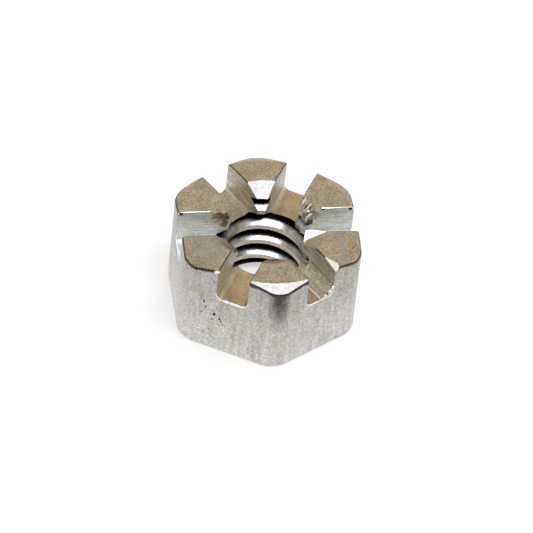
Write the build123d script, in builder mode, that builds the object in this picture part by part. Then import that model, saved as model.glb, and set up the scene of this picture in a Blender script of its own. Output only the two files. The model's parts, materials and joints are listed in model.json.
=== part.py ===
from build123d import *
import os
from math import cos, radians, tan

os.makedirs("parts", exist_ok=True)

# Castle nut, 1/4-20 UNC, in millimetres. It stands on its bearing face, with the origin at
# the centre of that face, the thread axis along +Z and one pair of flats facing +X and -X.

# Hexagon blank
sides = 6
across_flats = 11.11         # 7/16 inch wrench size
nut_height = 6.60
blank_corner_radius = 1.40   # on the six upright corners, which cold forming leaves unfilled

# Chamfers turned on the two ends
end_chamfer_slope = 30.0     # degrees from the end face
crown_inset = 0.07           # from the flats in to the flat top that the upper chamfer leaves
bearing_clip = 0.45          # from the corners, if sharp, in to where the lower chamfer starts

# Threaded hole, at the minor diameter of the thread
bore_diameter = 4.99
countersink_angle = 120.0    # included angle, at both ends
upper_countersink_diameter = 7.40
lower_countersink_diameter = 6.60

# Slots for the cotter pin, milled straight across from flat to flat
slot_width = 2.06
slot_depth = 2.30            # from the crown to the slot's floor
slot_corner_radius = 0.40    # left by the cutter's rounded teeth

# Sizes that follow from those above
half_turn = 180.0
slot_pitch = half_turn * 2 / sides
corner_reach = across_flats / 2 / cos(radians(half_turn / sides))
crown_radius = across_flats / 2 - crown_inset
crown_drop = (corner_reach - crown_radius) * tan(radians(end_chamfer_slope))
bearing_radius = corner_reach - bearing_clip
bearing_rise = bearing_clip * tan(radians(end_chamfer_slope))

# Each cut runs through two opposite slots, so three planes across the axis make all six
slot_planes = [Plane.YZ.rotated((0, 0, turn * slot_pitch)) for turn in range(sides // 2)]

with BuildPart() as castle_nut:
    # The cold formed blank
    with BuildSketch():
        RegularPolygon(across_flats / 2, sides, major_radius=False, rotation=half_turn / sides)
        fillet(vertices(), blank_corner_radius)
    extrude(amount=nut_height)

    # Both ends turned to a shallow cone, which leaves the flats with their curved top edges
    with BuildSketch(Plane.XZ):
        with BuildLine():
            Polyline(
                (0, 0),
                (bearing_radius, 0),
                (corner_reach, bearing_rise),
                (corner_reach, nut_height - crown_drop),
                (crown_radius, nut_height),
                (0, nut_height),
                close=True,
            )
        make_face()
    revolve(axis=Axis.Z, mode=Mode.INTERSECT)

    # The hole, drilled through from the crown and countersunk at both ends
    with Locations((0, 0, nut_height)):
        CounterSinkHole(
            bore_diameter / 2,
            upper_countersink_diameter / 2,
            counter_sink_angle=countersink_angle,
        )
    with Locations(Location((0, 0, 0), (half_turn, 0, 0))):
        CounterSinkHole(
            bore_diameter / 2,
            lower_countersink_diameter / 2,
            counter_sink_angle=countersink_angle,
        )

    # Castellations: the slots, with rounded corners along their floors
    with BuildSketch(*slot_planes):
        with Locations((0, nut_height)):
            RectangleRounded(slot_width, slot_depth * 2, slot_corner_radius)
    extrude(amount=across_flats, both=True, mode=Mode.SUBTRACT)

castle_nut.part.label = "castle_nut"
export_step(castle_nut.part, "parts/castle_nut.step")
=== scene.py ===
import json
import math

import bmesh
import bpy
from mathutils import Matrix, Vector


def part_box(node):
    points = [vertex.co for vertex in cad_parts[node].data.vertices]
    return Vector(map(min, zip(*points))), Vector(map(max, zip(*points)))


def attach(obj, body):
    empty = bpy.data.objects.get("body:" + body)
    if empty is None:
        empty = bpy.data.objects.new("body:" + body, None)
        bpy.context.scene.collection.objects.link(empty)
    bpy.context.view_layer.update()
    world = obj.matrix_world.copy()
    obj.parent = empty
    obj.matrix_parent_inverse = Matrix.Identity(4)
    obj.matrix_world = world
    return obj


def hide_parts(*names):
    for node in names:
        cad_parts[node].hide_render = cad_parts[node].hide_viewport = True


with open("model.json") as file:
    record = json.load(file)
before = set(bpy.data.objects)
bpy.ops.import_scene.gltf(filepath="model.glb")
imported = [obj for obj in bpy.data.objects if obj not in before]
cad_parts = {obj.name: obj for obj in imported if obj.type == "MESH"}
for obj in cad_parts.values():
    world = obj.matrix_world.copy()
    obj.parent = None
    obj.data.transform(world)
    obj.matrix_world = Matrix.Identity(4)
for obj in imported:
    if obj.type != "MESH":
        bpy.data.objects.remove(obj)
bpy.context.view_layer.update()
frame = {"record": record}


# The blank. A slug of stainless steel is pressed cold into a hexagon. The metal does not quite
# fill the die, which leaves the six upright corners round and a small break at their foot.
# The nut is shaped in millimetres, a little too tall, and turned to metres when it is finished.

def select_only(piece):
    """Make one object the active and only selected one."""
    bpy.ops.object.select_all(action="DESELECT")
    piece.select_set(True)
    bpy.context.view_layer.objects.active = piece


def mark(piece, kind, test):
    """In edit mode, select only the vertices, edges or faces that pass a test."""
    bpy.ops.mesh.select_mode(type=kind)
    bpy.ops.mesh.select_all(action="DESELECT")
    shape = bmesh.from_edit_mesh(piece.data)
    for part in {"VERT": shape.verts, "EDGE": shape.edges, "FACE": shape.faces}[kind]:
        part.select_set(test(part))
    bmesh.update_edit_mesh(piece.data)


def at_height(edge, z):
    """Say whether an edge lies level at a height."""
    return all(abs(vertex.co.z - z) < weld_reach for vertex in edge.verts)


def linear(hex_colour):
    """Turn an sRGB hex colour to the linear one that shaders take."""
    parts = [int(hex_colour[i : i + 2], 16) / 255 for i in (0, 2, 4)]
    return [p / 12.92 if p <= 0.04045 else ((p + 0.055) / 1.055) ** 2.4 for p in parts] + [1]


def add_node(tree, kind, inputs, **settings):
    """Add a node with its settings, and give each input a value or a link."""
    node = tree.nodes.new(kind)
    for name, value in settings.items():
        setattr(node, name, value)
    for name, value in inputs.items():
        if isinstance(value, bpy.types.NodeSocket):
            tree.links.new(value, node.inputs[name])
        else:
            node.inputs[name].default_value = value
    return node


nut_low, nut_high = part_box("castle_nut")
across_flats = (nut_high.x - nut_low.x) * 1000
height = (nut_high.z - nut_low.z) * 1000
corner_reach = across_flats / math.sqrt(3)
end_slope = math.tan(math.radians(30))
blank_corner_radius = 1.40
end_allowance = 1.0
lower_edge_break = 0.05
sharp_bend = math.radians(35)
weld_reach = 0.001

bpy.ops.object.select_all(action="DESELECT")
bpy.ops.mesh.primitive_cylinder_add(
    vertices=6,
    radius=corner_reach,
    depth=height + end_allowance,
    location=(0, 0, (height + end_allowance) / 2),
)
nut = bpy.context.object
nut.name = "castle_nut_body"
bpy.ops.object.transform_apply(location=True, rotation=True, scale=True)
bpy.ops.object.mode_set(mode="EDIT")
mark(nut, "EDGE", lambda edge: abs(edge.verts[0].co.z - edge.verts[1].co.z) > height / 2)
bpy.ops.mesh.bevel(offset=blank_corner_radius * end_slope, segments=12)
mark(nut, "EDGE", lambda edge: at_height(edge, 0))
bpy.ops.mesh.bevel(offset=lower_edge_break, segments=4)
bpy.ops.object.mode_set(mode="OBJECT")


def shade_where(steel, reading, none, full, shade, share=1.0, blend="MULTIPLY"):
    """Lay a shade on a steel, from none of it at one reading to the full share at another."""
    tree = steel.node_tree
    colour = tree.nodes["Principled BSDF"].inputs["Base Color"]
    amount = add_node(
        tree,
        "ShaderNodeMapRange",
        {"Value": reading, "From Min": none, "From Max": full, "To Max": share},
    )
    shaded = add_node(
        tree,
        "ShaderNodeMix",
        {0: amount.outputs[0], 6: colour.links[0].from_socket, 7: linear(shade)},
        data_type="RGBA",
        blend_type=blend,
    )
    tree.links.new(shaded.outputs[2], colour)


def mottled_steel(name, dark, light, grain, relief, roughness, warm="f9f5ee", cool="f1f4f7"):
    """Make bare stainless steel whose tone, gloss and height vary in grains, all in millimetres.

    Real grain is about 0.03 mm wide. It is drawn four or five times as coarse, so that it shows.
    """
    steel = bpy.data.materials.new(name)
    steel.use_nodes = True
    tree = steel.node_tree
    place = add_node(tree, "ShaderNodeTexCoord", {})
    grains = add_node(
        tree,
        "ShaderNodeTexNoise",
        {"Vector": place.outputs["Object"], "Scale": 1000 / grain, "Detail": 3, "Roughness": 0.6},
    )
    clouds = add_node(
        tree,
        "ShaderNodeTexNoise",
        {"Vector": place.outputs["Object"], "Scale": 1000 / grain / 6, "Detail": 2},
    )

    # Most of the tone comes from the grains, and a little from clouds six times as wide.
    spread = add_node(
        tree,
        "ShaderNodeMapRange",
        {"Value": grains.outputs["Fac"], "From Min": 0.33, "From Max": 0.67},
    )
    drift = add_node(
        tree,
        "ShaderNodeMapRange",
        {"Value": clouds.outputs["Fac"], "From Min": 0.35, "From Max": 0.65},
    )
    share = add_node(tree, "ShaderNodeMix", {0: 0.18, 2: spread.outputs[0], 3: drift.outputs[0]})
    tone = add_node(
        tree,
        "ShaderNodeMix",
        {0: share.outputs[0], 6: linear(dark), 7: linear(light)},
        data_type="RGBA",
    )
    shader = tree.nodes["Principled BSDF"]
    shader.inputs["Metallic"].default_value = 1
    tree.links.new(tone.outputs[2], shader.inputs["Base Color"])

    # Thin oxide gives some grains a warm tinge and others a cool one.
    tinges = add_node(
        tree,
        "ShaderNodeMix",
        {0: 0.3, 6: grains.outputs["Color"], 7: clouds.outputs["Color"]},
        data_type="RGBA",
    )
    tinge = add_node(tree, "ShaderNodeSeparateColor", {"Color": tinges.outputs[2]})
    for channel, shade in (("Green", warm), ("Blue", cool)):
        shade_where(steel, tinge.outputs[channel], 0.45, 0.57, shade)

    gloss = add_node(
        tree,
        "ShaderNodeMapRange",
        {"Value": spread.outputs[0], "To Min": roughness + 0.06, "To Max": roughness - 0.06},
    )
    dents = add_node(
        tree,
        "ShaderNodeBump",
        {"Height": grains.outputs["Fac"], "Strength": 1, "Distance": relief / 1000},
    )
    tree.links.new(gloss.outputs[0], shader.inputs["Roughness"])
    tree.links.new(dents.outputs[0], shader.inputs["Normal"])
    return steel


# The pressed skin is a pale, matt, finely frosted grey. Faint upright streaks, each about 0.35 mm
# wide, run the way the metal flowed.
formed_steel = mottled_steel(
    "cold_formed_stainless_skin", "c0beba", "f4f2ef", grain=0.14, relief=0.012, roughness=0.42
)
streak_width = 0.35
tree = formed_steel.node_tree
place = add_node(tree, "ShaderNodeTexCoord", {})
flow = add_node(
    tree,
    "ShaderNodeVectorMath",
    {0: place.outputs["Object"], 1: (1, 1, 0.12)},
    operation="MULTIPLY",
)
streaks = add_node(
    tree,
    "ShaderNodeTexNoise",
    {"Vector": flow.outputs[0], "Scale": 1000 / streak_width, "Detail": 3},
)
shade_where(formed_steel, streaks.outputs["Fac"], 0.45, 0.7, "eae8e5")
nut.data.materials.append(formed_steel)


# The ends. Both are faced and chamfered at 30 degrees on a lathe, which leaves a flat ring on the
# crown, a bearing ring below, and the arched upper edges of the flats, which carry a painted dark
# reflection.

def weld(piece):
    """Merge what a cut leaves doubled and drop the lines that bend nothing."""
    select_only(piece)
    bpy.ops.object.mode_set(mode="EDIT")
    bpy.ops.mesh.select_all(action="SELECT")
    bpy.ops.mesh.remove_doubles(threshold=weld_reach)
    bpy.ops.mesh.dissolve_limited(angle_limit=math.radians(0.3), delimit={"MATERIAL"})
    bpy.ops.object.mode_set(mode="OBJECT")


def machine(piece, tool, finish, operation="DIFFERENCE"):
    """Cut or join one solid with another whose faces leave their finish, and put that away."""
    tool.data.materials.append(finish)
    select_only(piece)
    bpy.ops.object.modifier_add(type="BOOLEAN")
    cut = piece.modifiers[-1]
    cut.object = tool
    cut.operation = operation
    cut.solver = "EXACT"
    cut.material_mode = "TRANSFER"
    bpy.ops.object.modifier_apply(modifier=cut.name)
    bpy.data.objects.remove(tool)
    weld(piece)


def paint(piece, finish, test):
    """Give a finish to the faces that pass a test."""
    if piece.data.materials.find(finish.name) < 0:
        piece.data.materials.append(finish)
    select_only(piece)
    bpy.ops.object.mode_set(mode="EDIT")
    mark(piece, "FACE", test)
    piece.active_material_index = piece.data.materials.find(finish.name)
    bpy.ops.object.material_slot_assign()
    bpy.ops.object.mode_set(mode="OBJECT")


def stain(steel, place, centre, reach, core, shade, share=1.0, blend="MIX"):
    """Lay a shade on an oval patch, full up to a share of its reach, the core, and gone at it.

    The centre and the reach are in millimetres.
    """
    tree = steel.node_tree
    from_centre = add_node(
        tree,
        "ShaderNodeVectorMath",
        {0: place, 1: [side / 1000 for side in centre]},
        operation="SUBTRACT",
    )
    in_reaches = add_node(
        tree,
        "ShaderNodeVectorMath",
        {0: from_centre.outputs[0], 1: [1000 / side for side in reach]},
        operation="MULTIPLY",
    )
    span = add_node(tree, "ShaderNodeVectorMath", {0: in_reaches.outputs[0]}, operation="LENGTH")
    shade_where(steel, span.outputs["Value"], 1.0, core, shade, share, blend)


def axis_distance(tree, place):
    """Give the socket that holds how far a place is from the nut's axis, in metres."""
    level = add_node(tree, "ShaderNodeVectorMath", {0: place, 1: (1, 1, 0)}, operation="MULTIPLY")
    distance = add_node(tree, "ShaderNodeVectorMath", {0: level.outputs[0]}, operation="LENGTH")
    return distance.outputs["Value"]


crown_inset = 0.07
bearing_clip = 0.45
crown_radius = across_flats / 2 - crown_inset
bearing_radius = corner_reach - bearing_clip
upper_edge_break = 0.09
round_steps = 144

# The turned rings are tan and spotted like a worn coin. The tan is partly a warm stain and partly a
# painted reflection of the warm backdrop that level faces mirror. One castle has a grey scuff
# across it, and another is greyer all over.
turned_steel = mottled_steel(
    "turned_stainless_ends",
    "867b6a",
    "c9beac",
    grain=0.12,
    relief=0.014,
    roughness=0.34,
    warm="f6e6cc",
    cool="e2e7ec",
)
place = add_node(turned_steel.node_tree, "ShaderNodeTexCoord", {})
for centre, reach, shade, share in (
    ((4.32, -2.4, height), (0.3, 2.2, 0.5), "8f9096", 0.55),
    ((-4.1, -1.6, height), (1.6, 2.4, 0.5), "8b8c88", 0.4),
):
    stain(turned_steel, place.outputs["Object"], centre, reach, 0.5, shade, share)

bpy.ops.mesh.primitive_cylinder_add(
    vertices=round_steps, radius=corner_reach, depth=height, location=(0, 0, height / 2)
)
envelope = bpy.context.object
bpy.ops.object.transform_apply(location=True, rotation=True, scale=True)
bpy.ops.object.mode_set(mode="EDIT")
for end, ring_radius, side in ((height, crown_radius, 1), (0.0, bearing_radius, -1)):
    ring_inset = corner_reach - ring_radius
    mark(envelope, "FACE", lambda face: face.normal.z * side > 0.9)
    bpy.ops.mesh.inset(thickness=ring_inset)
    mark(
        envelope,
        "EDGE",
        lambda edge: at_height(edge, end)
        and all(vertex.co.xy.length > corner_reach - ring_inset / 2 for vertex in edge.verts),
    )
    bpy.ops.transform.translate(value=(0, 0, -side * ring_inset * end_slope))
bpy.ops.object.mode_set(mode="OBJECT")
machine(nut, envelope, turned_steel, "INTERSECT")

# Painted dark reflection: the arched edges are a dull dark brown, standing for the dark room that
# these rounded edges mirror.
grime_and_painted_shade_steel = mottled_steel(
    "grime_and_painted_shade_stainless", "3a332c", "6e655c", grain=0.15, relief=0.006, roughness=0.45
)
nut.data.materials.append(grime_and_painted_shade_steel)
paint(nut, turned_steel, lambda face: face.normal.z < -0.95)

# The breaks stop short of the middle of each flat. The slots will take the upper edge away there,
# and the lower cone runs out before it.
bpy.ops.object.mode_set(mode="EDIT")
for side, inner_reach, break_width in ((1, 5.63, upper_edge_break), (-1, 6.02, lower_edge_break)):
    mark(
        nut,
        "EDGE",
        lambda edge: edge.calc_face_angle() > sharp_bend
        and any(0.8 < face.normal.z * side < 0.95 for face in edge.link_faces)
        and any(abs(face.normal.z) < 0.3 for face in edge.link_faces)
        and all(vertex.co.xy.length > inner_reach for vertex in edge.verts),
    )
    bpy.ops.mesh.bevel(
        offset=break_width,
        segments=4,
        clamp_overlap=False,
        material=nut.data.materials.find(grime_and_painted_shade_steel.name) if side > 0 else 0,
    )
bpy.ops.object.mode_set(mode="OBJECT")
weld(nut)

# The skin carries a dark patch below the front corner and a line of painted dark reflection under
# each arch, both ragged. It is also painted darker towards the crown, a painted shade for the
# bright floor that it mirrors less there. Swirls two thirds of a millimetre wide move the place
# that the dark patch and the dark line go by, which gives them their ragged edges.
swirl_width = 2 / 3
swirl_reach = 0.3
tree = formed_steel.node_tree
place = add_node(tree, "ShaderNodeTexCoord", {})
swirl = add_node(
    tree,
    "ShaderNodeTexNoise",
    {"Vector": place.outputs["Object"], "Scale": 1000 / swirl_width, "Detail": 3},
)
moved = add_node(
    tree,
    "ShaderNodeVectorMath",
    {0: swirl.outputs["Color"], 1: [swirl_reach / 500] * 3, 2: place.outputs["Object"]},
    operation="MULTIPLY_ADD",
)
swirled = add_node(
    tree,
    "ShaderNodeVectorMath",
    {0: moved.outputs[0], 1: [swirl_reach / 1000] * 3},
    operation="SUBTRACT",
)
stain(
    formed_steel,
    swirled.outputs[0],
    centre=(0, -6.0, 5.9),
    reach=(0.8, 1.4, 3.2),
    core=0.22,
    shade="7a7370",
    blend="MULTIPLY",
)

# On the upper cone, the height and the slope's share of the distance from the axis have one sum.
# The painted dark reflection lies where that sum is a little less, just below the cone.
cone_sum = height + crown_radius * end_slope
dark_line_reach = 0.17
dark_line_core = 0.09
swirled_parts = add_node(tree, "ShaderNodeSeparateXYZ", {"Vector": swirled.outputs[0]})
skin_sum = add_node(
    tree,
    "ShaderNodeMath",
    {0: axis_distance(tree, swirled.outputs[0]), 1: end_slope, 2: swirled_parts.outputs["Z"]},
    operation="MULTIPLY_ADD",
)
shade_where(
    formed_steel,
    skin_sum.outputs[0],
    (cone_sum - dark_line_reach) / 1000,
    (cone_sum - dark_line_core) / 1000,
    "4a423a",
    share=0.85,
    blend="MIX",
)
# Painted shade: the skin darkens towards the crown.
parts = add_node(tree, "ShaderNodeSeparateXYZ", {"Vector": place.outputs["Object"]})
shade_where(formed_steel, parts.outputs["Z"], 0.5 / 1000, 5.5 / 1000, "e2e0de")


# The castellations. Three straight passes of a milling cutter cross the flats. The cutter's worn
# teeth leave rounded corners along the floor, and a light break runs along every rim.

slot_width = 2.06
slot_depth = 2.30
slot_corner_radius = 0.40
slot_edge_break = 0.06
slot_floor = height - slot_depth
feed_line_gap = 0.12
feed_line_depth = 0.003


def milled_steel(name, dark, light, floor_tint, metallic):
    """Make the steel of a slot, whose floor has a tint over the tone of its walls, partly painted
    reflection.
    """
    steel = mottled_steel(name, dark, light, grain=0.16, relief=0.010, roughness=0.42)
    tree = steel.node_tree
    shader = tree.nodes["Principled BSDF"]
    shader.inputs["Metallic"].default_value = metallic
    place = add_node(tree, "ShaderNodeTexCoord", {})
    facing = add_node(tree, "ShaderNodeSeparateXYZ", {"Vector": place.outputs["Normal"]})
    # Partly painted reflection: faces that look up take the floor's tint.
    shade_where(steel, facing.outputs["Z"], 0.3, 0.9, floor_tint)

    # Feed lines run level along the walls. Real ones are about 0.02 mm apart, too fine to show, and
    # are drawn six times as far apart.
    along = add_node(
        tree,
        "ShaderNodeVectorMath",
        {0: place.outputs["Object"], 1: (0.1, 0.1, 1)},
        operation="MULTIPLY",
    )
    lines = add_node(
        tree,
        "ShaderNodeTexNoise",
        {"Vector": along.outputs[0], "Scale": 1000 / feed_line_gap, "Detail": 2},
    )
    shade_where(steel, lines.outputs["Fac"], 0.35, 0.65, "dcdcda")
    grooves = add_node(
        tree,
        "ShaderNodeBump",
        {
            "Height": lines.outputs["Fac"],
            "Strength": 1,
            "Distance": feed_line_depth / 1000,
            "Normal": shader.inputs["Normal"].links[0].from_socket,
        },
    )
    tree.links.new(grooves.outputs[0], shader.inputs["Normal"])

    # The last millimetre of the walls below the crown is painted darker: painted shade.
    parts = add_node(tree, "ShaderNodeSeparateXYZ", {"Vector": place.outputs["Object"]})
    shade_where(steel, parts.outputs["Z"], 5.3 / 1000, 6.4 / 1000, "e3e0d8")
    return steel


# The first slot was cut by a fresh edge and is a clean, cool, nearly white grey. In the second the
# edge had dulled and rubbed, and the floor is tan, partly a warm stain and partly a painted
# reflection of the warm backdrop that level faces mirror. The third has darker grains and a floor
# in between.
# Fine scratches scatter light, so all three look less metallic than a mirror.
clean_steel = milled_steel("clean_milled_stainless", "dfe3e2", "f8faf9", "ffffff", 0.35)
tinted_steel = milled_steel("tan_floor_milled_stainless", "d8d3c6", "f4f1e8", "c6b196", 0.68)
dull_steel = milled_steel("dull_milled_stainless", "c8bca8", "fffaee", "c2bcb0", 0.68)
slot_finishes = (clean_steel, tinted_steel, dull_steel)


def in_slot_finish(face):
    """Say whether a face is a wall, a rounded corner or a floor of a slot."""
    return nut.data.materials[face.material_index] in slot_finishes


for turn, finish in enumerate(slot_finishes):
    bpy.ops.mesh.primitive_cube_add(size=1, location=(0, 0, height))
    cutter = bpy.context.object
    cutter.scale = (across_flats * 2, slot_width, slot_depth * 2)
    bpy.ops.object.transform_apply(location=True, rotation=True, scale=True)
    bpy.ops.object.mode_set(mode="EDIT")
    mark(
        cutter,
        "EDGE",
        lambda edge: abs(edge.verts[0].co.x - edge.verts[1].co.x) > across_flats
        and edge.verts[0].co.z < height,
    )
    bpy.ops.mesh.bevel(offset=slot_corner_radius, segments=8)
    bpy.ops.object.mode_set(mode="OBJECT")
    cutter.rotation_euler.z = turn * math.pi / 3
    bpy.ops.object.transform_apply(location=True, rotation=True, scale=True)
    machine(nut, cutter, finish)

# Where the edge of the cutter left the metal, the rim is a bright, nearly white thin burr, partly a
# real burr and partly a painted highlight. It is far less metallic than the rest, so that it shows
# white.
burr_and_highlight_steel = mottled_steel(
    "burnished_stainless_burr_and_painted_highlight", "ececec", "ffffff", grain=0.15, relief=0.004, roughness=0.35
)
burr_and_highlight_steel.node_tree.nodes["Principled BSDF"].inputs["Metallic"].default_value = 0.15
nut.data.materials.append(burr_and_highlight_steel)
bpy.ops.object.mode_set(mode="EDIT")
mark(
    nut,
    "EDGE",
    lambda edge: edge.calc_face_angle() > sharp_bend
    and in_slot_finish(edge.link_faces[0]) != in_slot_finish(edge.link_faces[1]),
)
bpy.ops.mesh.bevel(
    offset=slot_edge_break,
    segments=4,
    clamp_overlap=False,
    material=nut.data.materials.find(burr_and_highlight_steel.name),
)
bpy.ops.object.mode_set(mode="OBJECT")


crown_edge = height - 0.2
bright_rim_top = slot_floor + 0.7


def on_rim(face, low, high):
    """Say whether a face belongs to the break along a slot's rims, between two heights."""
    is_break = nut.data.materials[face.material_index] == burr_and_highlight_steel
    return is_break and low < face.calc_center_median().z < high


def has_rim_highlight(face):
    """Say whether a face lies on the far side of the first slot, outside the countersink."""
    centre = face.calc_center_median()
    return 0 < centre.y < 1.3 and abs(centre.x) > 3.4


# Two of the crown's rims carry a painted highlight, a thin white line, and the others are dark
# brown.
# The upright rims took the colour of the skin. Only round the floors, where the cutter came out, is
# the burr bright, partly a real burr and partly a painted highlight.
rim_highlight_steel = mottled_steel(
    "stainless_rim_painted_highlight", "f4f4f4", "ffffff", grain=0.15, relief=0.002, roughness=0.3
)
paint(nut, rim_highlight_steel, lambda face: on_rim(face, crown_edge, height) and has_rim_highlight(face))
paint(nut, formed_steel, lambda face: on_rim(face, bright_rim_top, crown_edge))
paint(nut, grime_and_painted_shade_steel, lambda face: on_rim(face, crown_edge, height))
weld(nut)


# The hole. It is drilled right through the steel at the thread's minor diameter, and both ends are
# countersunk at 120 degrees, so that no sharp first crest stands proud.

thread_mount = next(mount for mount in frame["record"]["mounts"] if mount["name"] == "thread")
minor_radius = thread_mount["dims"]["r_mm"]
upper_sink_radius = 3.70
lower_sink_radius = 3.30
sink_slope = math.tan(math.radians(30))
overrun = 1.0

# The cut steel has the tan and the spots of the turned ends, a little glossier, its tan partly a
# painted reflection as on the ends. The bore's wall, which the crests of the thread are left from,
# is painted paler: painted light that lifts the dark things it mirrors.
drilled_steel = mottled_steel(
    "drilled_stainless_hole",
    "867b6a",
    "c9beac",
    grain=0.12,
    relief=0.012,
    roughness=0.30,
    warm="f6e6cc",
    cool="e2e7ec",
)
tree = drilled_steel.node_tree
place = add_node(tree, "ShaderNodeTexCoord", {})
from_axis = axis_distance(tree, place.outputs["Object"])
# Painted light: the crest lands are paler.
shade_where(drilled_steel, from_axis, 2.54 / 1000, 2.50 / 1000, "c9c7ba", share=0.35, blend="MIX")

upper_sink_floor = height - (upper_sink_radius - minor_radius) * sink_slope
lower_sink_floor = (lower_sink_radius - minor_radius) * sink_slope
bpy.ops.mesh.primitive_cylinder_add(
    vertices=round_steps,
    radius=minor_radius,
    depth=upper_sink_floor - lower_sink_floor,
    location=(0, 0, (upper_sink_floor + lower_sink_floor) / 2),
)
drill = bpy.context.object
bpy.ops.object.transform_apply(location=True, rotation=True, scale=True)
bpy.ops.object.mode_set(mode="EDIT")
for side, floor_height, end in ((1, upper_sink_floor, height), (-1, lower_sink_floor, 0.0)):
    reach = abs(end - floor_height) + overrun
    flare = 1 + reach / sink_slope / minor_radius
    mark(drill, "FACE", lambda face: face.normal.z * side > 0.9)
    bpy.ops.mesh.extrude_region_move(TRANSFORM_OT_translate={"value": (0, 0, side * reach)})
    bpy.ops.transform.resize(value=(flare, flare, 1))
bpy.ops.object.mode_set(mode="OBJECT")
machine(nut, drill, drilled_steel)


# The thread. A tap cuts it right-hand, 20 turns to the inch, after the slots are milled. It is a
# 60 degree vee whose root is flat, an eighth of the pitch wide, and whose crests are what is left
# of the bore's wall. Where the thread starts, a crest's lower edge is at crest_height.

pitch = 1.27
major_radius = 3.175
flank_slope = math.tan(math.radians(30))
half_root = pitch / 16
tooth_overlap = 0.15
crest_height = 3.51
thread_start = math.pi / 2 - math.radians(11.87)
tap_turns = 8
tap_steps = 96

# The tap pressed the flanks smooth, so they are blue grey and glossy. The roots are painted nearly
# black: painted shade deep in the groove. The mottling is wide and soft, over ten times as coarse
# as real grain.
tapped_steel = mottled_steel(
    "tapped_stainless_thread",
    "8f9094",
    "acadb2",
    grain=0.4,
    relief=0.004,
    roughness=0.24,
    warm="f0e0bc",
    cool="d4dff4",
)
tree = tapped_steel.node_tree
place = add_node(tree, "ShaderNodeTexCoord", {})
from_axis = axis_distance(tree, place.outputs["Object"])
# Painted shade: the roots are nearly black.
shade_where(tapped_steel, from_axis, 2.70 / 1000, 2.92 / 1000, "020202", blend="MIX")

core_radius = minor_radius - tooth_overlap
core_half = half_root + (major_radius - core_radius) * flank_slope
crest_edge = half_root + (major_radius - minor_radius) * flank_slope
tooth = (
    (core_radius, -core_half),
    (major_radius, -half_root),
    (core_radius, core_half),
    (major_radius, half_root),
)
bpy.ops.mesh.primitive_plane_add(size=1, location=(0, 0, 0))
tap = bpy.context.object
for vertex, (reach, z) in zip(tap.data.vertices, tooth):
    vertex.co = (reach, 0, z)
bpy.ops.object.modifier_add(type="SCREW")
screw = tap.modifiers[-1]
screw.angle = math.tau
screw.screw_offset = pitch
screw.iterations = tap_turns
screw.steps = tap_steps
screw.render_steps = tap_steps
screw.use_merge_vertices = False
bpy.ops.object.modifier_apply(modifier=screw.name)
bpy.ops.object.mode_set(mode="EDIT")
bpy.ops.mesh.select_mode(type="EDGE")
bpy.ops.mesh.select_all(action="SELECT")
bpy.ops.mesh.remove_doubles(threshold=weld_reach)
bpy.ops.mesh.select_all(action="DESELECT")
bpy.ops.mesh.select_non_manifold()
bpy.ops.mesh.edge_face_add()
bpy.ops.mesh.select_all(action="SELECT")
bpy.ops.mesh.normals_make_consistent(inside=False)
bpy.ops.object.mode_set(mode="OBJECT")
tap.rotation_euler.z = thread_start
tap.location.z = crest_height - crest_edge - tap_turns // 2 * pitch
bpy.ops.object.transform_apply(location=True, rotation=True, scale=True)
machine(nut, tap, tapped_steel)


# The bright cones. On the front castle's chamfer and the back castle's countersink, a pale steel
# with no tan is a painted highlight.

def is_bright_cone(face):
    """Say whether a face is on the front castle's chamfer or the back castle's countersink."""
    centre = face.calc_center_median()
    is_cone = 0.8 < face.normal.z < 0.95
    on_front_castle = centre.y < -5.2
    on_back_castle = 2.4 < centre.y < 3.8 and abs(centre.x) < 1.3 and centre.z > 5.95
    return is_cone and (on_front_castle or on_back_castle)


# Painted highlight: the steel here is frosty and pale and far less metallic than the rest, so that
# it shows white under the lamp.
painted_highlight_steel = mottled_steel(
    "turned_stainless_painted_highlight", "b6b6ba", "e4e4e9", grain=0.12, relief=0.010, roughness=0.45
)
painted_highlight_steel.node_tree.nodes["Principled BSDF"].inputs["Metallic"].default_value = 0.15
paint(nut, painted_highlight_steel, is_bright_cone)


# The knocked corner. A blow has flattened the corner of one castle beside the third slot, and left
# a small facet in the steel across the crown, the flat and the slot's wall, white with a painted
# highlight.

hammer_width = 1.6
facet = [Vector(place) for place in ((2.98, -3.14, 6.6), (3.98, -4.08, 6.58), (3.60, -4.34, 6.20))]
facing_out = (facet[2] - facet[0]).cross(facet[1] - facet[0]).normalized()
bpy.ops.mesh.primitive_cube_add(
    size=hammer_width,
    location=(facet[0] + facet[1]) / 2 + facing_out * (hammer_width / 2),
    rotation=facing_out.to_track_quat("Z", "Y").to_euler(),
)
hammer = bpy.context.object
machine(nut, hammer, burr_and_highlight_steel)


# The pits. Scale was pressed into one flat as the blank was formed, and fell out again. It left
# ten small upright pits in the steel, which are dark inside.

def on_flat(turn, along, z, out=0.0):
    """Give the place at a distance along the flat that faces a turn, at a height."""
    angle = math.radians(turn)
    outward = Vector((math.cos(angle), math.sin(angle), 0))
    sideways = Vector((-math.sin(angle), math.cos(angle), 0))
    return outward * (across_flats / 2 + out) + sideways * along + Vector((0, 0, z))


def roughen(tool, reach, seed):
    """Move each vertex of a shape at random, up to a reach."""
    select_only(tool)
    bpy.ops.object.mode_set(mode="EDIT")
    bpy.ops.mesh.select_all(action="SELECT")
    bpy.ops.transform.vertex_random(offset=reach, seed=seed)
    bpy.ops.object.mode_set(mode="OBJECT")


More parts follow.
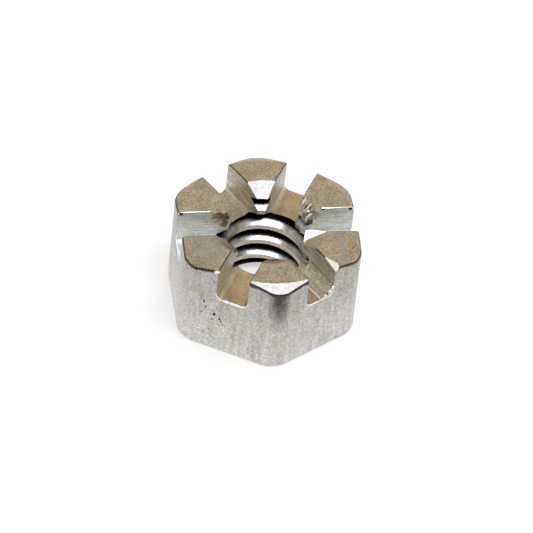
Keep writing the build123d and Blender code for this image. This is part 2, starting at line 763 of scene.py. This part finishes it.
pitted_flat = -120
pit_shape = (0.8, 0.8, 1.3)
for along, z, size in (
    (-1.78, 3.72, 0.09),
    (-1.63, 3.31, 0.07),
    (-1.90, 2.80, 0.06),
    (-1.03, 2.91, 0.11),
    (-1.14, 2.42, 0.06),
    (-0.66, 2.65, 0.08),
    (-0.55, 2.48, 0.07),
    (-0.41, 2.24, 0.05),
    (-1.65, 1.12, 0.05),
    (-1.32, 1.52, 0.05),
):
    bpy.ops.mesh.primitive_ico_sphere_add(
        subdivisions=2, radius=size, location=on_flat(pitted_flat, along, z, size * 0.1)
    )
    punch = bpy.context.object
    punch.scale = pit_shape
    bpy.ops.object.transform_apply(location=True, rotation=True, scale=True)
    roughen(punch, size * 0.25, int(size * 1000 + z * 10))
    machine(nut, punch, grime_and_painted_shade_steel)


# The torn step. In the third slot the cutter tore the steel as it left. A ragged bank of the same
# dull metal slopes from the middle of the floor up one wall, and a thin bright burr stands along
# its foot.

def in_slot(turn, along, across, z):
    """Give the place at a distance along a slot that runs out at a turn, across it, at a height."""
    angle = math.radians(turn)
    return Vector(
        (
            math.cos(angle) * along - math.sin(angle) * across,
            math.sin(angle) * along + math.cos(angle) * across,
            z,
        )
    )


def ragged_bar(place, turn, size, raggedness, seed):
    """Lay a thin bar at a place, square to a turn, and make it ragged."""
    bpy.ops.mesh.primitive_cube_add(size=1, location=place, rotation=(0, 0, math.radians(turn)))
    bar = bpy.context.object
    bar.scale = size
    bpy.ops.object.transform_apply(location=True, rotation=True, scale=True)
    bpy.ops.object.mode_set(mode="EDIT")
    mark(bar, "EDGE", lambda edge: edge.calc_length() > 1)
    bpy.ops.mesh.subdivide(number_cuts=16)
    bpy.ops.object.mode_set(mode="OBJECT")
    roughen(bar, raggedness, seed)
    return bar


torn_slot = -60
bank_start = 3.1
bank_end = 5.53
bank_foot = 4.15
bank_profile = (
    (-0.12, bank_foot),
    (-0.12, 4.32),
    (0.0, 4.44),
    (0.12, 4.37),
    (0.35, 4.58),
    (0.66, 4.76),
    (0.90, 5.02),
    (1.15, 5.10),
    (1.15, bank_foot),
)
bpy.ops.mesh.primitive_circle_add(vertices=len(bank_profile), fill_type="NGON")
bank = bpy.context.object
for vertex, (across, z) in zip(bank.data.vertices, bank_profile):
    vertex.co = in_slot(torn_slot, bank_start, across, z)
bpy.ops.object.mode_set(mode="EDIT")
bpy.ops.mesh.select_all(action="SELECT")
bpy.ops.mesh.extrude_region_move(
    TRANSFORM_OT_translate={"value": in_slot(torn_slot, bank_end - bank_start, 0, 0)}
)
mark(bank, "EDGE", lambda edge: edge.calc_length() > 2)
bpy.ops.mesh.subdivide(number_cuts=30)
mark(bank, "VERT", lambda vertex: 4.25 < vertex.co.z < 5.06)
bpy.ops.transform.vertex_random(offset=0.035, seed=3)
bpy.ops.mesh.select_all(action="SELECT")
bpy.ops.mesh.normals_make_consistent(inside=False)
bpy.ops.object.mode_set(mode="OBJECT")
machine(nut, bank, dull_steel, "UNION")

ridge = ragged_bar(in_slot(torn_slot, 4.80, 0.02, 4.36), torn_slot, (1.44, 0.05, 0.24), 0.014, 2)
machine(nut, ridge, burr_and_highlight_steel, "UNION")


# The torn lumps and the burrs. The tap dragged lumps of steel out of one wall of the first slot
# where it broke through, and small burrs hang where the cutter left the flats.

# Torn metal is rough, with pale grains between dark hollows. Iron dust that was caught in it has
# rusted, and stains one lump brown. Its grains are drawn three times as coarse as real ones.
torn_steel = mottled_steel(
    "torn_stainless", "776f64", "dcd8d0", grain=0.09, relief=0.03, roughness=0.5
)
rusty_steel = mottled_steel(
    "stained_torn_stainless", "6a4c2e", "c0935c", grain=0.1, relief=0.03, roughness=0.5
)
for place, size, finish, seed in (
    ((-3.02, 1.07, 6.06), (0.46, 0.12, 0.44), turned_steel, 1),
    ((-2.64, 1.07, 5.86), (0.38, 0.14, 0.58), turned_steel, 2),
    ((-2.62, 1.02, 5.62), (0.28, 0.12, 0.32), rusty_steel, 3),
    ((3.00, 1.07, 6.04), (0.44, 0.12, 0.44), torn_steel, 4),
    ((2.64, 1.09, 5.84), (0.36, 0.16, 0.56), torn_steel, 25),
    ((2.82, 1.02, 5.50), (0.20, 0.12, 0.18), grime_and_painted_shade_steel, 6),
    ((3.61, -4.27, 4.95), (0.10, 0.10, 0.10), burr_and_highlight_steel, 8),
    ((3.40, -4.42, 4.72), (0.10, 0.10, 0.09), burr_and_highlight_steel, 9),
    ((3.26, -4.50, 4.62), (0.07, 0.07, 0.07), grime_and_painted_shade_steel, 10),
    ((3.12, -4.59, 4.50), (0.09, 0.09, 0.09), burr_and_highlight_steel, 11),
    ((-3.74, -4.20, 6.46), (0.20, 0.10, 0.08), burr_and_highlight_steel, 33),
    ((-3.30, -4.50, 4.30), (0.08, 0.06, 0.06), grime_and_painted_shade_steel, 13),
    ((-2.86, -4.76, 4.29), (0.07, 0.06, 0.07), grime_and_painted_shade_steel, 14),
    ((-2.50, -4.96, 4.29), (0.10, 0.07, 0.08), burr_and_highlight_steel, 15),
    ((-3.05, -4.66, 4.31), (0.09, 0.07, 0.07), burr_and_highlight_steel, 16),
    ((-5.38, -0.85, 4.34), (0.12, 0.10, 0.10), burr_and_highlight_steel, 17),
    ((-5.40, -0.40, 4.31), (0.10, 0.14, 0.07), burr_and_highlight_steel, 18),
):
    bpy.ops.mesh.primitive_ico_sphere_add(subdivisions=2, radius=1, location=place)
    lump = bpy.context.object
    lump.scale = size
    bpy.ops.object.transform_apply(location=True, rotation=True, scale=True)
    roughen(lump, min(size) * 0.4, seed)
    machine(nut, lump, finish, "UNION")


# The chip. A bright flake of cut steel is jammed in the first slot beside the thread. It leans
# from the floor up the wall, and its outer end is cut off askew.

chip_skew = 0.35
bpy.ops.mesh.primitive_cube_add(
    size=1, location=(3.05, 0.72, 4.40), rotation=(math.radians(31), 0, math.radians(-14))
)
chip = bpy.context.object
chip.scale = (1.0, 0.86, 0.3)
for vertex in chip.data.vertices:
    if vertex.co.x > 0:
        vertex.co.x += chip_skew if vertex.co.y > 0 else -chip_skew
bpy.ops.object.transform_apply(location=True, rotation=True, scale=True)
machine(nut, chip, burr_and_highlight_steel, "UNION")


# The slivers. On one castle the tap tore the first crest into thin upright slivers of steel, some
# bright and some dull, which follow the edge of the countersink down to the torn lumps.

sliver_tilt = -0.5
sliver_width = 0.04
sliver_height = 0.09
for place, spin, length, finish, seed in (
    ((2.40, 2.12, 6.34), 64, 0.30, torn_steel, 1),
    ((2.50, 1.92, 6.34), 48, 0.38, burr_and_highlight_steel, 2),
    ((2.58, 1.62, 6.33), 52, 0.26, torn_steel, 3),
    ((2.70, 1.40, 6.34), 36, 0.36, burr_and_highlight_steel, 4),
    ((2.60, 1.14, 6.24), 40, 0.20, torn_steel, 5),
    ((2.72, 0.92, 6.10), 20, 0.30, burr_and_highlight_steel, 6),
    ((2.56, 0.92, 5.82), 35, 0.16, burr_and_highlight_steel, 7),
):
    bpy.ops.mesh.primitive_ico_sphere_add(
        subdivisions=2, radius=1, location=place, rotation=(0, sliver_tilt, math.radians(spin))
    )
    sliver = bpy.context.object
    sliver.scale = (length, sliver_width, sliver_height)
    bpy.ops.object.transform_apply(location=True, rotation=True, scale=True)
    roughen(sliver, 0.012, seed)
    machine(nut, sliver, finish, "UNION")


# The nicks. Knocks have dented the steel of the crown's rims in three places along the first slot.
# Each dent is rough and dark inside.

for turn, along, across, z, size in (
    (180, 5.36, -1.03, 6.46, 0.13),
    (0, 5.30, 1.03, 6.46, 0.12),
    (0, 3.60, 1.03, 6.50, 0.09),
):
    bpy.ops.mesh.primitive_ico_sphere_add(
        subdivisions=2, radius=size, location=in_slot(turn, along, across, z)
    )
    nick = bpy.context.object
    roughen(nick, size * 0.3, int(along * 10))
    machine(nut, nick, grime_and_painted_shade_steel)


# The lip. Where the cutter ran out of the second slot, it pushed a thin ragged lip of bright steel
# over the edge of the floor, so that it hangs down the flat.

lip = ragged_bar(on_flat(-120, 0.0, slot_floor + 0.01, 0.01), -120, (0.12, 1.62, 0.06), 0.025, 8)
machine(nut, lip, burr_and_highlight_steel, "UNION")


# The finish. The nut is turned to metres, as all is from here on. Bends of up to 28 degrees are
# shaded as round, and each large face keeps its own direction beside the small breaks.

select_only(nut)
nut.scale = (0.001, 0.001, 0.001)
bpy.ops.object.transform_apply(location=True, rotation=True, scale=True)
bpy.ops.object.shade_smooth_by_angle(angle=math.radians(28))
bpy.ops.object.modifier_add(type="WEIGHTED_NORMAL")
evening = nut.modifiers[-1]
evening.keep_sharp = True
evening.weight = 100
bpy.ops.object.modifier_apply(modifier=evening.name)

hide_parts("castle_nut")
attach(nut, "root")


# The floor. The nut stands on a sheet of uncoated white paper on a table. The sheet lies a hair
# below the bearing face, because two faces at one height would flicker.

paper_drop = 0.00002
paper_colour = "f4f4f4"
bleached_share = 0.5

bpy.ops.mesh.primitive_plane_add(size=0.6, location=(0, 0, -paper_drop))
floor = bpy.context.object
floor.name = "floor"

# The strong light bleaches the paper: half of what is seen of it is plain white, and the other
# half is matt and takes the nut's soft shadow. What the steel mirrors of it is all plain white.
paper = bpy.data.materials.new("matt_white_paper")
paper.use_nodes = True
tree = paper.node_tree
sheet = tree.nodes["Principled BSDF"]
sheet.inputs["Base Color"].default_value = linear(paper_colour)
sheet.inputs["Roughness"].default_value = 1
glow = add_node(tree, "ShaderNodeEmission", {"Color": linear("ffffff"), "Strength": 1})
path = add_node(tree, "ShaderNodeLightPath", {})
mirrored = add_node(
    tree,
    "ShaderNodeMath",
    {0: path.outputs["Is Glossy Ray"], 1: path.outputs["Is Transmission Ray"]},
    operation="MAXIMUM",
)
looked_at = add_node(
    tree,
    "ShaderNodeMath",
    {0: path.outputs["Is Camera Ray"], 1: bleached_share},
    operation="MULTIPLY",
)
bleached = add_node(
    tree,
    "ShaderNodeMath",
    {0: mirrored.outputs[0], 1: looked_at.outputs[0]},
    operation="MAXIMUM",
)
seen = add_node(
    tree,
    "ShaderNodeMixShader",
    {0: bleached.outputs[0], 1: sheet.outputs[0], 2: glow.outputs[0]},
)
tree.links.new(seen.outputs[0], tree.nodes["Material Output"].inputs["Surface"])
floor.data.materials.append(paper)


# The light. Bare metal shows little but its surroundings, so the world is drawn as a room: a pale
# wall behind the nut, a darker one before it, and white overhead and below. Its grades are what
# make the steel look like steel. A broad soft lamp hangs overhead, before the nut.

world = bpy.data.worlds.new("studio")
bpy.context.scene.world = world
world.use_nodes = True
tree = world.node_tree
direction = add_node(tree, "ShaderNodeTexCoord", {})
turned = add_node(
    tree,
    "ShaderNodeVectorRotate",
    {"Vector": direction.outputs["Generated"], "Angle": math.radians(11.87)},
    rotation_type="Z_AXIS",
)
parts = add_node(tree, "ShaderNodeSeparateXYZ", {"Vector": turned.outputs["Vector"]})
backward = add_node(
    tree,
    "ShaderNodeMapRange",
    {"Value": parts.outputs["Y"], "From Min": -0.55, "From Max": 0.05},
    interpolation_type="SMOOTHSTEP",
)
walls = add_node(
    tree,
    "ShaderNodeMix",
    {0: backward.outputs[0], 6: linear("7c766f"), 7: linear("fffaf2")},
    data_type="RGBA",
)
rising = add_node(
    tree,
    "ShaderNodeMapRange",
    {"Value": parts.outputs["Z"], "From Min": 0.84, "From Max": 0.93},
    interpolation_type="SMOOTHSTEP",
)
ceiling = add_node(
    tree,
    "ShaderNodeMix",
    {0: rising.outputs[0], 6: walls.outputs[2], 7: linear("ffffff")},
    data_type="RGBA",
)
sinking = add_node(
    tree,
    "ShaderNodeMapRange",
    {"Value": parts.outputs["Z"], "From Min": 0.03, "From Max": -0.03},
)
room = add_node(
    tree,
    "ShaderNodeMix",
    {0: sinking.outputs[0], 6: ceiling.outputs[2], 7: linear("ffffff")},
    data_type="RGBA",
)

# Past the edge of the paper, the room itself is seen as plain white.
path = add_node(tree, "ShaderNodeLightPath", {})
seen = add_node(
    tree,
    "ShaderNodeMix",
    {0: path.outputs["Is Camera Ray"], 6: room.outputs[2], 7: linear("ffffff")},
    data_type="RGBA",
)
tree.links.new(seen.outputs[2], tree.nodes["Background"].inputs["Color"])

bpy.ops.object.light_add(type="AREA", location=(0.07, -0.12, 0.5), rotation=(-0.235, -0.139, 0))
lamp = bpy.context.object
lamp.data.shape = "ELLIPSE"
lamp.data.size = 0.36
lamp.data.size_y = 0.20
lamp.data.energy = 2.0


# The camera. It stands a little to the left of the nut's front and looks down at it from close
# by through a long lens, slightly rolled.

azimuth = math.radians(-11.87)
elevation = math.radians(44.14)
roll = math.radians(6.46)
distance = 0.444
frame_width = 0.033294
aim_right = 0.000135
aim_down = 0.000444

bpy.ops.object.camera_add()
camera = bpy.context.object
camera.data.sensor_width = 36
camera.data.lens = camera.data.sensor_width * distance / frame_width
camera.data.clip_start = 0.01
camera.data.clip_end = 3
stance = (
    Matrix.Translation((0, 0, (nut_low.z + nut_high.z) / 2))
    @ Matrix.Rotation(azimuth, 4, "Z")
    @ Matrix.Rotation(math.pi / 2 - elevation, 4, "X")
    @ Matrix.Rotation(roll, 4, "Z")
    @ Matrix.Translation((aim_right, -aim_down, distance))
)
camera.matrix_world = stance
bpy.context.scene.camera = camera
bpy.context.scene.view_settings.view_transform = "Standard"
